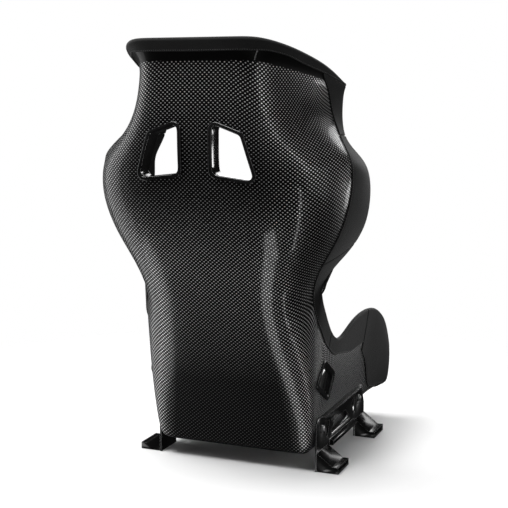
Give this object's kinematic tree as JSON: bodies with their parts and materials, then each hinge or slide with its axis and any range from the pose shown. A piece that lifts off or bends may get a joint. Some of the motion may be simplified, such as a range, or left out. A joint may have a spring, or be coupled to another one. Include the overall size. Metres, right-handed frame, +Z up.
{
  "type": "racing seat",
  "caption": "Fixed-back racing bucket seat: woven carbon shell with head and shoulder wings, harness slots, black fabric edges and cushions, on steel side brackets with slotted feet.",
  "frame": {"origin": "centre of the four floor bolt slots, on the floor plane under the feet", "axes": "+Z up, -Y the way the occupant faces, +X to the occupant's left"},
  "size_m": [0.603, 0.7116, 0.9745],
  "materials": {
    "carbon": "clear-coated woven carbon fibre laminate",
    "edge_fabric": "short-pile black suede-like fabric",
    "cushion_fabric": "black non-slip knitted fabric over foam",
    "hook_tape": "woven hook-and-loop tape",
    "bezel_plastic": "gloss black moulding",
    "painted_steel": "gloss black powder coat on folded steel",
    "zinc_steel": "dark zinc-plated steel",
    "spacer_alloy": "turned aluminium"
  },
  "bodies": {
    "root": {"bolt_washers_l": "zinc_steel", "bolt_washers_r": "zinc_steel", "bracket_l": "painted_steel", "bracket_r": "painted_steel", "crotch_bezel_lower": "bezel_plastic", "crotch_bezel_upper": "bezel_plastic", "foot_front_l": "painted_steel", "foot_front_r": "painted_steel", "foot_rear_l": "painted_steel", "foot_rear_r": "painted_steel", "front_lip_cover": "edge_fabric", "head_cushion": "cushion_fabric", "head_rim_cover": "edge_fabric", "head_wing_cover_l": "edge_fabric", "head_wing_cover_r": "edge_fabric", "head_wing_pad_l": "cushion_fabric", "head_wing_pad_r": "cushion_fabric", "hip_pad_l": "cushion_fabric", "hip_pad_r": "cushion_fabric", "lap_bezel_inner_l": "bezel_plastic", "lap_bezel_inner_r": "bezel_plastic", "lap_bezel_outer_l": "bezel_plastic", "lap_bezel_outer_r": "bezel_plastic", "leg_edge_cover_l": "edge_fabric", "leg_edge_cover_r": "edge_fabric", "leg_wing_cover_l": "edge_fabric", "leg_wing_cover_r": "edge_fabric", "lumbar_cushion": "cushion_fabric", "nut_plates_l": "spacer_alloy", "nut_plates_r": "spacer_alloy", "rib_pad_l": "cushion_fabric", "rib_pad_r": "cushion_fabric", "seat_cushion": "cushion_fabric", "shell_back": "carbon", "shell_bolts_l": "zinc_steel", "shell_bolts_r": "zinc_steel", "shell_head": "carbon", "shell_pan": "carbon", "shell_shoulders": "carbon", "shell_side_l": "carbon", "shell_side_r": "carbon", "shell_spacers_l": "spacer_alloy", "shell_spacers_r": "spacer_alloy", "shoulder_bezel_front_l": "bezel_plastic", "shoulder_bezel_front_r": "bezel_plastic", "shoulder_bezel_rear_l": "bezel_plastic", "shoulder_bezel_rear_r": "bezel_plastic", "shoulder_pad_l": "cushion_fabric", "shoulder_pad_r": "cushion_fabric", "shoulder_wing_cover_l": "edge_fabric", "shoulder_wing_cover_r": "edge_fabric", "tape_back": "hook_tape", "tape_head": "hook_tape", "tape_lumbar": "hook_tape", "tape_seat": "hook_tape", "thigh_pad_l": "cushion_fabric", "thigh_pad_r": "cushion_fabric", "upper_back_cushion": "cushion_fabric", "waist_cover_l": "edge_fabric", "waist_cover_r": "edge_fabric"}
  },
  "joints": []
}
